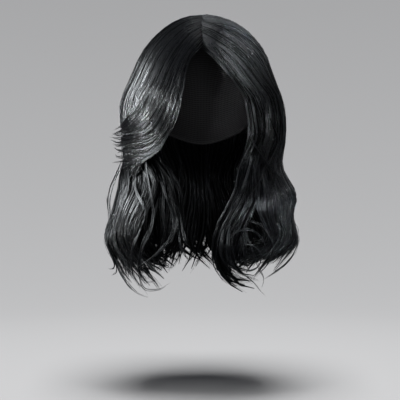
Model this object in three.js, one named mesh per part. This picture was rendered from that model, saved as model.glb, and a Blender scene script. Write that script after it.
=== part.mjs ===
// A shoulder-length wavy wig: a thin cap that takes the head, a long layer of wavy locks that fall from the
// parting and the crown, and a shorter fringe layer that is swept off the face to both sides.
// Millimetres, +Z up, the face opening towards -Y, the wearer's left towards +X.
// The origin is inside the crown of the cap, where the top of the head bears.

import * as THREE from "three";

// Driving dimensions
const HEAD = new THREE.Vector3(74, 95, 88); // half breadth, half length, crown above the widest level
const WIDEST = 100; // fall at the head's widest level
const HANGING_FREE = 150; // fall from which the hair no longer lies on the head
const CAP_WALL = 1.5;
const SEAT_GAP = 1.1; // between one layer of hair and what it lies on
const LOCK_GAP = { hanging: 2.1, root: 2.2, rootFall: 30 }; // between neighbours in the long layer
const BAND_GAP = 1.4; // between neighbours in the fringe
const PARTING = { front: -55, back: 12, dip: 3, dipFall: 14 }; // degrees from the vertical; mm
const FRINGE_DEPTH = 3.6;
const FRINGE_EDGE_DEPTH = 1.6;
const WAVE = { degrees: 4.5, length: 92, startFall: 120, fullFall: 200, turnsOfPhase: 1.6 };
const STATION_STEP = 11.6; // fall from one section of a lock to the next
const LOCK_SIDES = { outer: 4, inner: 3 }; // facets across a lock
const LOCK_CROWN = 0.32; // share of a lock's depth that its edges drop below its middle

// How far the hair's outer surface stands off the head, or off its upright outline below the widest level, on
// each side. A row for each section. Fall 0 is the parting, 100 is the head's widest level, and below that fall
// counts millimetres down.
const SECTIONS = [
  { fall: 0, right: 11, left: 11, frontRight: 11, frontLeft: 11, back: 11 },
  { fall: 20, right: 10.5, left: 11.5, frontRight: 11, frontLeft: 10, back: 12 },
  { fall: 36, right: 9.5, left: 12.5, frontRight: 11.5, frontLeft: 9.5, back: 13 },
  { fall: 58, right: 9.5, left: 12.5, frontRight: 12.5, frontLeft: 9, back: 15 },
  { fall: 76, right: 9.5, left: 10.5, frontRight: 14, frontLeft: 8.5, back: 16 },
  { fall: 88, right: 12, left: 12.5, frontRight: 14.5, frontLeft: 8.5, back: 16.5 },
  { fall: 100, right: 17.5, left: 18, frontRight: 15, frontLeft: 8, back: 17 },
  { fall: 114, right: 20, left: 20.5, frontRight: 14.5, frontLeft: 7.5, back: 18 },
  { fall: 138, right: 20.5, left: 22, frontRight: 12, frontLeft: 5, back: 17 },
  { fall: 165, right: 20, left: 18, frontRight: 3, frontLeft: 0, back: 12 },
  { fall: 180, right: 21, left: 21, frontRight: -1, frontLeft: -2, back: 9 },
  { fall: 200, right: 29, left: 32, frontRight: -3, frontLeft: -3, back: 6 },
  { fall: 212, right: 34, left: 34.5, frontRight: -4, frontLeft: -3, back: 5 },
  { fall: 228, right: 34, left: 30, frontRight: -7, frontLeft: -5, back: 3 },
  { fall: 246, right: 38, left: 36.5, frontRight: -5, frontLeft: -3, back: 6 },
  { fall: 258, right: 39, left: 39, frontRight: -3, frontLeft: -2, back: 8 },
  { fall: 270, right: 34.5, left: 35, frontRight: -7, frontLeft: -5, back: 6 },
  { fall: 282, right: 27.5, left: 26, frontRight: -12, frontLeft: -11, back: 2 },
  { fall: 294, right: 20, left: 16, frontRight: -17, frontLeft: -17, back: -4 },
  { fall: 312, right: 9, left: 3, frontRight: -27, frontLeft: -27, back: -15 },
];

// Depth of the hair where it hangs free.
const HANGING = [
  { fall: 100, depth: 16 },
  { fall: 150, depth: 21 },
  { fall: 200, depth: 29 },
  { fall: 252, depth: 32 },
  { fall: 282, depth: 23 },
  { fall: 312, depth: 8 },
];
const FACE_EDGE = { depth: 0.4, turn: 26 }; // share of that depth left at the face, and over how much it thins

// Edges of the face opening in the long layer, in degrees round the head from the middle of the face.
const FACE_EDGES = [
  { fall: 0, left: 20, right: -20 },
  { fall: 35, left: 30, right: -28 },
  { fall: 100, left: 40, right: -34 },
  { fall: 131, left: 43, right: -37 },
  { fall: 165, left: 42, right: -44 },
  { fall: 180, left: 40.5, right: -41.5 },
  { fall: 200, left: 35, right: -31 },
  { fall: 226, left: 23.5, right: -21.5 },
  { fall: 246, left: 15.5, right: -19.5 },
  { fall: 262, left: 15.5, right: -17.5 },
  { fall: 276, left: 22, right: -23 },
  { fall: 290, left: 31, right: -39 },
  { fall: 312, left: 47, right: -57 },
];

// The long layer's locks in order round the head, from the face edge on the wearer's left: each one's share of
// the way round, where its root starts and where its tip ends.
const LOCKS = [
  { name: "front_lock_left", share: 1.25, root: 4, tip: 306 },
  { name: "side_lock_left_1", share: 1.0, root: 3, tip: 310 },
  { name: "side_lock_left_2", share: 1.1, root: 3, tip: 302 },
  { name: "side_lock_left_3", share: 1.0, root: 4, tip: 306 },
  { name: "back_lock_1", share: 1.1, root: 6, tip: 300 },
  { name: "back_lock_2", share: 1.0, root: 9, tip: 306 },
  { name: "back_lock_3", share: 1.1, root: 12, tip: 298 },
  { name: "back_lock_4", share: 1.0, root: 12, tip: 305 },
  { name: "back_lock_5", share: 1.1, root: 9, tip: 299 },
  { name: "back_lock_6", share: 1.0, root: 6, tip: 304 },
  { name: "side_lock_right_3", share: 1.1, root: 4, tip: 308 },
  { name: "side_lock_right_2", share: 1.0, root: 3, tip: 303 },
  { name: "side_lock_right_1", share: 1.1, root: 3, tip: 311 },
  { name: "front_lock_right", share: 1.25, root: 4, tip: 292 },
];
const TIP = { taperFall: 62, width: 0.35, depth: 0.3 }; // the last stretch of a lock, and what is left of it

// Where the fringe lies over the long layer, in turn and fall, and over how much it fades in.
const FRINGE_COVERS = [
  { fromTurn: -122, toTurn: 0, toFall: 178, fadeTurn: 14, fadeFall: 14 },
  { fromTurn: 6, toTurn: 100, toFall: 146, fadeTurn: 12, fadeFall: 18 },
];

// Lines down the hair that bound the fringe's bands, each from the parting to the tips: turn and fall, point by
// point.
const FRINGE_LINES = {
  swoopEdge: {
    turn: [-18, -21, -17, -14, -20, -31, -47, -70, -96],
    fall: [3, 35, 66, 98, 131, 153, 163, 163, 152],
  },
  right1: {
    turn: [-50, -37, -31, -28, -33, -44, -60, -78, -97],
    fall: [3, 38, 67, 96, 116, 131, 138, 142, 147],
  },
  right2: {
    turn: [-72, -60, -52, -47, -51, -59, -71, -85, -98],
    fall: [3, 38, 66, 94, 108, 119, 126, 131, 140],
  },
  right3: {
    turn: [-92, -83, -76, -70, -73, -78, -85, -93, -100],
    fall: [3, 38, 65, 92, 104, 112, 118, 123, 131],
  },
  rightBack: {
    turn: [-112, -107, -104, -103, -103, -103, -103, -104, -104],
    fall: [3, 38, 64, 90, 100, 106, 111, 116, 124],
  },
  leftEdge: { turn: [16, 28, 35, 44], fall: [3, 35, 88, 118] },
  left1: { turn: [46, 48, 56, 61], fall: [3, 35, 86, 120] },
  leftBack: { turn: [72, 70, 78, 80], fall: [3, 35, 88, 126] },
};

// The fringe's bands, each between the line at its face edge and the line at its far side.
const FRINGE = [
  { name: "fringe_swoop", edge: "swoopEdge", far: "right1" },
  { name: "fringe_right_1", edge: "right1", far: "right2" },
  { name: "fringe_right_2", edge: "right2", far: "right3" },
  { name: "fringe_right_3", edge: "right3", far: "rightBack" },
  { name: "fringe_left_1", edge: "leftEdge", far: "left1" },
  { name: "fringe_left_2", edge: "left1", far: "leftBack" },
];
const FRINGE_STATIONS = 21;

// The cap's rim: how far down from the crown it reaches at each turn, alike on both sides, in degrees.
const CAP_RIM = [
  { turn: 0, reach: 53 },
  { turn: 40, reach: 73 },
  { turn: 80, reach: 99 },
  { turn: 105, reach: 92 },
  { turn: 140, reach: 110 },
  { turn: 180, reach: 122 },
];
const CAP_FACETS = { round: 30, down: 8 };

const { degToRad, smoothstep, lerp, clamp } = THREE.MathUtils;

// Smooth value of one column of a table at a place along its key column.
function along(rows, key, column, at) {
  const last = rows.length - 1;
  let i = rows.findIndex((row) => at < row[key]) - 1;
  if (i === -2 || at >= rows[last][key]) return rows[last][column];
  if (i < 0) return rows[0][column];
  const slope = (n) => {
    const a = rows[Math.max(n - 1, 0)];
    const b = rows[Math.min(n + 1, last)];
    return (b[column] - a[column]) / (b[key] - a[key]);
  };
  const span = rows[i + 1][key] - rows[i][key];
  const t = (at - rows[i][key]) / span;
  const start = rows[i][column];
  const end = rows[i + 1][column];
  const rise = t * t * (3 - 2 * t);
  const leave = t * (1 - t) * (1 - t) * span * slope(i);
  const arrive = t * t * (t - 1) * span * slope(i + 1);
  return start + (end - start) * rise + leave + arrive;
}

// Stand-off of the hair's outer surface at a place.
function standOff(turn, fall) {
  const across = Math.sin(degToRad(turn));
  const ahead = Math.cos(degToRad(turn));
  const side = along(SECTIONS, "fall", across > 0 ? "left" : "right", fall);
  const frontColumn = across > 0 ? "frontLeft" : "frontRight";
  const end = along(SECTIONS, "fall", ahead > 0 ? frontColumn : "back", fall);
  return side * across ** 2 + end * ahead ** 2;
}

// Direction from the middle of the head for a place above its widest level: hair leaves the parting and runs by
// the shortest way to the widest level.
function domeDirection(turn, fall) {
  const middle = (PARTING.back + PARTING.front) / 2;
  const half = (PARTING.back - PARTING.front) / 2;
  const lean = degToRad(middle - half * Math.cos(degToRad(turn)));
  const root = new THREE.Vector3(0, Math.sin(lean), Math.cos(lean));
  const rim = new THREE.Vector3(Math.sin(degToRad(turn)), -Math.cos(degToRad(turn)), 0);
  const arc = root.angleTo(rim);
  const t = fall / WIDEST;
  const direction = root.multiplyScalar(Math.sin((1 - t) * arc) / Math.sin(arc));
  return direction.addScaledVector(rim, Math.sin(t * arc) / Math.sin(arc));
}

// A point on the head for a direction, moved out from the surface by an offset.
function onHead(direction, offset) {
  const normal = direction.clone().divide(HEAD).normalize();
  const point = direction.clone().multiply(HEAD).addScaledVector(normal, offset);
  return point.setZ(point.z - HEAD.z);
}

// A place in the hair: its turn, its fall, and its depth below the hair's outer surface.
function inHair(turn, fall, depth) {
  const direction = domeDirection(turn, Math.min(fall, WIDEST));
  const point = onHead(direction, standOff(turn, fall) - depth);
  return point.setZ(point.z - Math.max(fall - WIDEST, 0));
}

// Depth from the hair's outer surface to its inner one: down to the cap on the head, and the hanging depth
// below, thinned towards the face.
function hairDepth(turn, fall) {
  const toCap = standOff(turn, fall) - CAP_WALL - SEAT_GAP;
  const side = turn > 180 ? turn - 360 : turn;
  const past = Math.max(
    side - along(FACE_EDGES, "fall", "left", fall),
    along(FACE_EDGES, "fall", "right", fall) - side,
  );
  const thinned = lerp(FACE_EDGE.depth, 1, smoothstep(past, 0, FACE_EDGE.turn));
  return lerp(toCap, along(HANGING, "fall", "depth", fall) * thinned, smoothstep(fall, WIDEST, HANGING_FREE));
}

// How fully the fringe lies over the long layer at a place, from 0 to 1.
function fringeCover(turn, fall) {
  const shares = FRINGE_COVERS.map((c) => {
    const entered = smoothstep(turn, c.fromTurn, c.fromTurn + c.fadeTurn);
    const left = smoothstep(turn, c.toTurn - c.fadeTurn, c.toTurn);
    return entered * (1 - left) * (1 - smoothstep(fall, c.toFall - c.fadeFall, c.toFall));
  });
  return Math.max(...shares);
}

// Closed solid through rings of points, each ring in the same order, with flat ends.
function loft(rings) {
  const sides = rings[0].length;
  const at = (ring, side) => ring * sides + (side % sides);
  const triangles = [];
  for (let r = 0; r + 1 < rings.length; r++) {
    for (let s = 0; s < sides; s++) {
      triangles.push(at(r, s), at(r + 1, s), at(r + 1, s + 1));
      triangles.push(at(r, s), at(r + 1, s + 1), at(r, s + 1));
    }
  }
  const last = rings.length - 1;
  for (let s = 1; s + 1 < sides; s++) {
    triangles.push(at(0, 0), at(0, s), at(0, s + 1));
    triangles.push(at(last, 0), at(last, s + 1), at(last, s));
  }
  const geometry = new THREE.BufferGeometry().setFromPoints(rings.flat());
  return geometry.setIndex(triangles);
}

// One section of a lock between two places on its edges: crowned outside, nearly flat inside.
// `top` and `base` give the depth of its outer and inner faces at a turn and fall.
function lockRing(edge, far, gap, top, base) {
  const span = inHair(edge.turn, edge.fall, 0).distanceTo(inHair(far.turn, far.fall, 0));
  const inset = clamp(gap / 2 / span, 0, 0.3);
  const place = (across) => {
    const share = lerp(inset, 1 - inset, (across + 1) / 2);
    return { turn: lerp(edge.turn, far.turn, share), fall: lerp(edge.fall, far.fall, share) };
  };
  const ring = [];
  for (let i = 0; i <= LOCK_SIDES.outer; i++) {
    const across = (2 * i) / LOCK_SIDES.outer - 1;
    const { turn, fall } = place(across);
    const upper = top(turn, fall);
    ring.push(inHair(turn, fall, lerp(upper, base(turn, fall), LOCK_CROWN * across ** 2)));
  }
  for (let i = LOCK_SIDES.inner; i >= 0; i--) {
    const { turn, fall } = place((2 * i) / LOCK_SIDES.inner - 1);
    ring.push(inHair(turn, fall, base(turn, fall)));
  }
  return ring;
}

// Turn of a line in the long layer: its share of the way round from the left face edge to the right one, with
// the side-to-side wave that grows below the ears.
function lineTurn(share, fall) {
  const left = along(FACE_EDGES, "fall", "left", fall);
  const right = along(FACE_EDGES, "fall", "right", fall) + 360;
  const swing = WAVE.degrees * smoothstep(fall, WAVE.startFall, WAVE.fullFall) * Math.sin(Math.PI * share);
  const phase = 2 * Math.PI * (fall / WAVE.length + WAVE.turnsOfPhase * share);
  const turn = lerp(left, right, share) + swing * Math.sin(phase);
  return turn > 180 ? turn - 360 : turn;
}

// Falls of a lock's sections: its root, its tip, and between them the steps that all locks share.
function stations(root, tip) {
  const falls = [root];
  const first = Math.ceil(root / STATION_STEP + 0.3);
  for (let n = first; n * STATION_STEP < tip - STATION_STEP / 3; n++) falls.push(n * STATION_STEP);
  return [...falls, tip];
}

// A lock of the long layer between two shares of the way round.
function longLock({ root, tip }, from, to) {
  const rings = [];
  for (const fall of stations(root, tip)) {
    const ending = smoothstep(fall, tip - TIP.taperFall, tip);
    const narrowing = ((to - from) / 2) * ending * (1 - TIP.width);
    const edge = { turn: lineTurn(from + narrowing, fall), fall };
    const far = { turn: lineTurn(to - narrowing, fall), fall };
    if (far.turn < edge.turn) far.turn += 360;
    const rooting = PARTING.dip * (1 - smoothstep(fall, 0, PARTING.dipFall));
    const lying = (turn) => fringeCover(turn > 180 ? turn - 360 : turn, fall) * (FRINGE_DEPTH + SEAT_GAP);
    const top = (turn) => rooting + lying(turn);
    const base = (turn) => {
      const deep = hairDepth(turn, fall);
      return lerp(deep, lerp(top(turn), deep, TIP.depth), ending);
    };
    const gap = lerp(LOCK_GAP.root, LOCK_GAP.hanging, smoothstep(fall, 0, LOCK_GAP.rootFall));
    rings.push(lockRing(edge, far, gap, top, base));
  }
  return loft(rings);
}

// A place on one of the fringe's lines, with `at` counting its points.
function onLine({ turn, fall }, at) {
  const points = turn.map((value, i) => ({ at: i, turn: value, fall: fall[i] }));
  return { turn: along(points, "at", "turn", at), fall: along(points, "at", "fall", at) };
}

// A band of the fringe between two lines.
function fringeBand({ edge, far }) {
  const [edgeLine, farLine] = [FRINGE_LINES[edge], FRINGE_LINES[far]];
  const top = (turn, fall) => (PARTING.dip / 2) * (1 - smoothstep(fall, 0, PARTING.dipFall));
  const base = (turn, fall) => {
    const full = fringeCover(turn, fall) * FRINGE_DEPTH;
    return top(turn, fall) + Math.max(FRINGE_EDGE_DEPTH, full - top(turn, fall));
  };
  const rings = [];
  for (let i = 0; i < FRINGE_STATIONS; i++) {
    const at = (i / (FRINGE_STATIONS - 1)) * (edgeLine.turn.length - 1);
    rings.push(lockRing(onLine(edgeLine, at), onLine(farLine, at), BAND_GAP, top, base));
  }
  const geometry = loft(rings);
  const turnsLeft = farLine.turn[0] > edgeLine.turn[0];
  return turnsLeft ? geometry : flipped(geometry);
}

// The same faces seen from their other side.
function flipped(geometry) {
  const index = geometry.getIndex().array;
  for (let i = 0; i < index.length; i += 3) {
    [index[i + 1], index[i + 2]] = [index[i + 2], index[i + 1]];
  }
  return geometry;
}

// The cap: a thin dome over the head, open below, with its rim cut up over the face.
function capShell() {
  const { round, down } = CAP_FACETS;
  const layer = (offset) => {
    const points = [onHead(new THREE.Vector3(0, 0, 1), offset)];
    for (let d = 1; d <= down; d++) {
      for (let r = 0; r < round; r++) {
        const turn = (360 * r) / round;
        const reach = along(CAP_RIM, "turn", "reach", turn > 180 ? 360 - turn : turn);
        const direction = new THREE.Vector3();
        direction.setFromSphericalCoords(1, degToRad((reach * d) / down), degToRad(turn));
        points.push(onHead(new THREE.Vector3(direction.x, -direction.z, direction.y), offset));
      }
    }
    return points;
  };
  const outer = layer(CAP_WALL);
  const count = outer.length;
  const at = (d, r) => 1 + (d - 1) * round + (r % round);
  const triangles = [];
  for (let r = 0; r < round; r++) {
    triangles.push(0, at(1, r), at(1, r + 1));
    triangles.push(count, count + at(1, r + 1), count + at(1, r));
    for (let d = 1; d < down; d++) {
      const [a, b, c, e] = [at(d, r), at(d + 1, r), at(d + 1, r + 1), at(d, r + 1)];
      triangles.push(a, b, c, a, c, e);
      triangles.push(count + a, count + c, count + b, count + a, count + e, count + c);
    }
    const [a, b] = [at(down, r), at(down, r + 1)];
    triangles.push(a, count + a, count + b, a, count + b, b);
  }
  const geometry = new THREE.BufferGeometry().setFromPoints([...outer, ...layer(0)]);
  return geometry.setIndex(triangles);
}

const hairFibre = new THREE.MeshStandardMaterial({ color: 0x0b0c0e, roughness: 0.38, metalness: 0 });
const capNet = new THREE.MeshStandardMaterial({ color: 0x0d0d0e, roughness: 0.85, metalness: 0 });

function named(name, geometry, material) {
  geometry.computeVertexNormals();
  const mesh = new THREE.Mesh(geometry, material);
  mesh.name = name;
  return mesh;
}

const wig = new THREE.Group();
wig.name = "wavy_wig";
wig.add(named("cap", capShell(), capNet));

const wayRound = LOCKS.reduce((sum, lock) => sum + lock.share, 0);
let passed = 0;
for (const lock of LOCKS) {
  const from = passed / wayRound;
  passed += lock.share;
  wig.add(named(lock.name, longLock(lock, from, passed / wayRound), hairFibre));
}
for (const band of FRINGE) {
  wig.add(named(band.name, fringeBand(band), hairFibre));
}

export default wig;
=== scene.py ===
"""A shoulder-length wavy wig in near-black fibre, strand by strand, on its cap.

Tables are in millimetres and degrees, as the part was designed, and points are made in metres.
Turn counts degrees round the head from the middle of the face, positive to the wearer's left.
Fall counts down the hair: 0 at the parting, 100 at the head's widest level, and millimetres below that.
"""

import math
from collections import namedtuple
from types import SimpleNamespace as Named

import bpy
import numpy as np
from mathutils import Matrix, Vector


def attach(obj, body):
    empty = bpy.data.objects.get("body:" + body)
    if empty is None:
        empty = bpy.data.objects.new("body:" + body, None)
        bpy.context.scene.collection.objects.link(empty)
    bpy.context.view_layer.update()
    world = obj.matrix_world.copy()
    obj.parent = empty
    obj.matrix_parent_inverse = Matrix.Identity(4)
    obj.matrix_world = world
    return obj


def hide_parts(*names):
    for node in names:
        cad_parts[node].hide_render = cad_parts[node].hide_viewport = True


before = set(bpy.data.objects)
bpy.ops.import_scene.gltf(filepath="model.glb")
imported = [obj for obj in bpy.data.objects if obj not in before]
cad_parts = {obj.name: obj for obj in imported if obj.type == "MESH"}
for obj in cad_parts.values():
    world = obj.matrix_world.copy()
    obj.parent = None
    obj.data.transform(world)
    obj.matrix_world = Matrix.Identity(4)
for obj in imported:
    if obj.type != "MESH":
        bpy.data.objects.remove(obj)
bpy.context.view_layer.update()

MM = 0.001

# Camera, level with the hair's middle and square to the face.
CAMERA = Named(place=(-0.0023, -1.150, -0.200), lens=90.0, sensor=36.0)

camera_data = bpy.data.cameras.new("camera")
camera_data.lens = CAMERA.lens
camera_data.sensor_width = CAMERA.sensor
camera = bpy.data.objects.new("camera", camera_data)
camera.location = CAMERA.place
camera.rotation_euler = (math.radians(90), 0, 0)
bpy.context.scene.collection.objects.link(camera)
bpy.context.scene.camera = camera

# Half sizes of the head that the hair lies on, and the layers of hair.
HEAD = np.array([74.0, 95.0, 88.0])
WIDEST = 100.0
HANGING_FREE = 150.0
CAP_WALL = 1.5
SEAT_GAP = 1.1
PARTING = Named(front=-55.0, back=12.0)
FRINGE_DEPTH = 3.6
WAVE = Named(degrees=3.5, length=110.0, start=120.0, full=200.0, phase=1.6)

# Stand-off of the hair's outer surface from the head: the fall, then how far at places round the head.
RIGHT, LEFT, FRONT_RIGHT, FRONT_LEFT, BACK = range(1, 6)
SECTIONS = np.array([
    (0, 11, 11, 11, 11, 11),
    (20, 10.5, 11.5, 11, 10, 12),
    (36, 9.5, 12.5, 11.5, 9.5, 13),
    (58, 9.5, 12.5, 12.5, 9, 15),
    (76, 9.5, 10.5, 14, 8.5, 16),
    (88, 12, 12.5, 14.5, 8.5, 16.5),
    (100, 17.5, 18, 15, 8, 17),
    (114, 20, 20.5, 14.5, 7.5, 18),
    (138, 20.5, 22, 12, 5, 17),
    (165, 20, 18, 3, 0, 12),
    (180, 21, 21, -1, -2, 9),
    (200, 24, 32, -3, -3, 6),
    (212, 27, 34.5, -4, -3, 5),
    (228, 31, 30, -7, -5, 3),
    (246, 37.5, 36.5, -5, -3, 6),
    (258, 39, 39, -3, -2, 8),
    (270, 34.5, 35, -7, -5, 6),
    (282, 27.5, 26, -12, -11, 2),
    (294, 20, 16, -17, -17, -4),
    (312, 9, 3, -27, -27, -15),
])

# Depth of the hair where it hangs free, and how it thins towards the face.
DEPTH = 1
HANGING = np.array([(100, 16), (150, 21), (200, 29), (252, 32), (282, 23), (312, 8)])
FACE_EDGE = Named(depth=0.4, turn=26.0)

# Edges of the face opening.
EDGE_LEFT, EDGE_RIGHT = 1, 2
FACE_EDGES = np.array([
    (0, 20, -20),
    (35, 30, -28),
    (100, 40, -34),
    (131, 43, -37),
    (165, 42, -41),
    (180, 39.5, -37),
    (200, 34.5, -28),
    (226, 24, -21),
    (246, 15.5, -18),
    (262, 14.5, -17),
    (290, 16, -19),
    (330, 18, -22),
])

# The long layer in order round the head from the left face edge. For each lock: its share of the way round,
# how late its waves come, where across it forks, and how each side of the fork ends: the fall of its tips,
# the fall where they begin to curl, by how many degrees, and in which plane.
Lock = namedtuple("Lock", "name share late fork near far")
LOCKS = [
    Lock("front_lock_left", 1.25, -4, 0.33, (330, 256, 90, 195), (302, 234, 60, -10)),
    Lock("side_lock_left_1", 1.0, 6, 0.5, (312, 240, 60, -10), (316, 244, 65, -12)),
    Lock("side_lock_left_2", 1.1, 0, 0.5, (312, 244, 70, -15), (308, 240, 75, -30)),
    Lock("side_lock_left_3", 1.0, 8, 0.4, (306, 240, 70, -20), (310, 246, 70, 190)),
    Lock("back_lock_1", 1.1, -6, 0.6, (306, 238, 75, 190), (310, 242, 60, 185)),
    Lock("back_lock_2", 1.0, 5, 0.4, (312, 246, 65, 195), (306, 240, 80, -15)),
    Lock("back_lock_3", 1.1, -7, 0.5, (308, 238, 70, -10), (306, 240, 60, 190)),
    Lock("back_lock_4", 1.0, 7, 0.5, (310, 244, 60, -10), (308, 244, 70, 190)),
    Lock("back_lock_5", 1.1, -3, 0.6, (306, 240, 70, 190), (310, 240, 65, -10)),
    Lock("back_lock_6", 1.0, 6, 0.4, (308, 244, 75, -10), (312, 246, 65, -15)),
    Lock("side_lock_right_3", 1.1, -4, 0.4, (306, 244, 60, -20), (310, 246, 60, 200)),
    Lock("side_lock_right_2", 1.0, 4, 0.5, (316, 246, 60, 195), (320, 250, 65, 190)),
    Lock("side_lock_right_1", 1.1, -2, 0.5, (322, 254, 65, 190), (318, 252, 80, 188)),
    Lock("front_lock_right", 1.25, 3, 0.5, (314, 260, 100, 185), (296, 238, 82, -10)),
]
FRONT_LOCKS = {"front_lock_left": 0.03, "front_lock_right": 0.97}  # where across each the face edge is

# How far the locks swing round from straight lines, in degrees, at shares of the way round.
FLOW_SHARES = np.array([0.0, 0.022, 0.034, 0.09, 0.16, 0.26, 0.74, 0.84, 0.91, 0.955, 1.0])
FLOW = np.array([
    (140, 0, 0, 0, 0, 0, 0, 0, 0, 0, 0, 0),
    (165, 0, 0, 2, -2, -3, 0, 0, 3, 3, 2, 2),
    (190, -2, -2, 2, -5, -4, 2, -2, 3, 6, 4, 3),
    (212, -3, -4, 1, 0, 2, 4, -3, -2, 4, -1, 4),
    (232, -2, -4, 10, 8, 6, 2, 0, -6, -3, -5, 2),
    (252, 0, -3, 23, 15, 4, -4, 4, -6, -8, -9, 0),
    (272, 0, -3, 24, 13, 0, -4, 4, -4, -10, -15, 0),
    (310, 0, -2, 16, 6, -4, -2, 2, 0, -6, -12, 0),
])

# Beside the face the hair lies back, and tucks in behind the hair in front of it.
RECESS = Named(shares=(0.935, 0.975), depth=11.0, falls=(136.0, 170.0, 240.0, 284.0))
TUCK = Named(shares=(0.03, 0.12), falls=(140.0, 180.0), reach=90.0, most=0.98)
TIP_TAPER = 62.0  # fall over which a wisp narrows to its tip

# Where the fringe lies over the long layer.
COVERS = [
    {"from": -122.0, "to": 0.0, "fall": 186.0, "fade_turn": 14.0, "fade_fall": 22.0},
    {"from": 6.0, "to": 88.0, "fall": 146.0, "fade_turn": 12.0, "fade_fall": 18.0},
]

# Lines down the hair that bound the fringe's bands, from the parting to the tips: turns, then falls.
LINES = {
    "swoop_edge": (
        (-18, -21, -17, -14, -20, -30, -45, -66, -90),
        (3, 35, 66, 98, 131, 152, 165, 172, 174),
    ),
    "right_1": (
        (-50, -37, -31, -28, -33, -44, -60, -78, -97),
        (3, 38, 67, 96, 116, 131, 140, 145, 149),
    ),
    "right_2": (
        (-72, -60, -52, -47, -51, -59, -71, -85, -98),
        (3, 38, 66, 94, 108, 119, 126, 131, 140),
    ),
    "right_2_down": ((-72, -60, -47, -52), (3, 38, 94, 124)),
    "right_3_down": ((-92, -83, -70, -74), (3, 38, 92, 122)),
    "right_back_down": ((-112, -107, -103, -104), (3, 38, 90, 118)),
    "left_edge": ((19, 32, 39, 46), (3, 35, 88, 118)),
    "left_1": ((46, 48, 56, 61), (3, 35, 86, 120)),
    "left_back": ((72, 70, 78, 80), (3, 35, 88, 126)),
}

# The fringe's bands: the lines that bound each, its wisps, and either the share of them that flick up or the
# points of the lines between which they sink into the long layer.
Band = namedtuple("Band", "name edge far wisps flicks sink", defaults=(0.0, None))
FRINGE = [
    Band("fringe_swoop", "swoop_edge", "right_1", 12, flicks=0.3),
    Band("fringe_right_1", "right_1", "right_2", 12, flicks=0.4),
    Band("fringe_right_2", "right_2_down", "right_3_down", 9, sink=(1.8, 3.0)),
    Band("fringe_right_3", "right_3_down", "right_back_down", 9, sink=(2.2, 3.6)),
    Band("fringe_left_1", "left_edge", "left_1", 9, sink=(3.3, 4.8)),
    Band("fringe_left_2", "left_1", "left_back", 9, sink=(3.3, 4.8)),
]
RUN_ON = 42.0  # fall for each step past the end of a band, where its strands run on into the long layer

# Pieces with fewer bright strands than the rest, as painted shade: beside the right face edge, for the
# shadow the hair there lies in, and on the fringe of the wearer's left, between its bright streaks.
SHADES = {"front_lock_right": 0.52, "fringe_left_1": 0.88, "fringe_left_2": 0.88}

# The cap's rim: how many degrees down from the crown it reaches at each turn, alike on both sides. The last
# row is past the middle of the back and keeps the rim level there.
REACH = 1
CAP_RIM = np.array([
    (0, 53),
    (40, 73),
    (80, 99),
    (105, 92),
    (140, 110),
    (165, 117.5),
    (180, 119.5),
    (195, 117.5),
])


def smoothstep(x, low, high):
    t = np.clip((x - low) / (high - low), 0, 1)
    return t * t * (3 - 2 * t)


def lerp(a, b, t):
    return a + (b - a) * t


def unit(v):
    return v / np.maximum(np.linalg.norm(v, axis=-1, keepdims=True), 1e-12)


def along(table, column, at):
    """Smooth value of one column of a table, at places along its first column."""
    keys, values = table[:, 0].astype(float), table[:, column].astype(float)
    order = np.arange(len(keys))
    before = np.maximum(order - 1, 0)
    after = np.minimum(order + 1, len(keys) - 1)
    slope = (values[after] - values[before]) / (keys[after] - keys[before])
    at = np.clip(at, keys[0], keys[-1])
    i = np.clip(np.searchsorted(keys, at, side="right") - 1, 0, len(keys) - 2)
    span = keys[i + 1] - keys[i]
    t = (at - keys[i]) / span
    rise = (values[i + 1] - values[i]) * t * t * (3 - 2 * t)
    leave = t * (1 - t) ** 2 * span * slope[i]
    arrive = t * t * (t - 1) * span * slope[i + 1]
    return values[i] + rise + leave + arrive


def stand_off(turn, fall):
    """How far the hair's outer surface stands off the head."""
    across, ahead = np.sin(np.radians(turn)), np.cos(np.radians(turn))
    side = np.where(across > 0, along(SECTIONS, LEFT, fall), along(SECTIONS, RIGHT, fall))
    front = np.where(across > 0, along(SECTIONS, FRONT_LEFT, fall), along(SECTIONS, FRONT_RIGHT, fall))
    end = np.where(ahead > 0, front, along(SECTIONS, BACK, fall))
    return side * across**2 + end * ahead**2


def on_head(direction, offset):
    """Points on the head for directions from its middle, moved out by an offset, in metres."""
    normal = unit(direction / HEAD)
    point = direction * HEAD + normal * np.asarray(offset)[..., None]
    return (point - (0, 0, HEAD[2])) * MM


def in_hair(turn, fall, depth):
    """Points at a turn and a fall, at a depth below the hair's outer surface."""
    turn, fall, depth = np.broadcast_arrays(turn, fall, depth)
    angle = np.radians(turn)
    middle, half = (PARTING.back + PARTING.front) / 2, (PARTING.back - PARTING.front) / 2
    lean = np.radians(middle - half * np.cos(angle))
    root = np.stack([np.zeros_like(lean), np.sin(lean), np.cos(lean)], -1)
    rim = np.stack([np.sin(angle), -np.cos(angle), np.zeros_like(lean)], -1)
    arc = np.arccos(np.clip((root * rim).sum(-1), -1, 1))
    t = np.minimum(fall, WIDEST) / WIDEST
    direction = root * (np.sin((1 - t) * arc) / np.sin(arc))[..., None]
    direction = direction + rim * (np.sin(t * arc) / np.sin(arc))[..., None]
    point = on_head(direction, stand_off(turn, fall) - depth)
    point[..., 2] -= np.maximum(fall - WIDEST, 0) * MM
    return point


def turn_back(turn):
    """A turn counted from -180 to 180."""
    return (turn + 180) % 360 - 180


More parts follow.
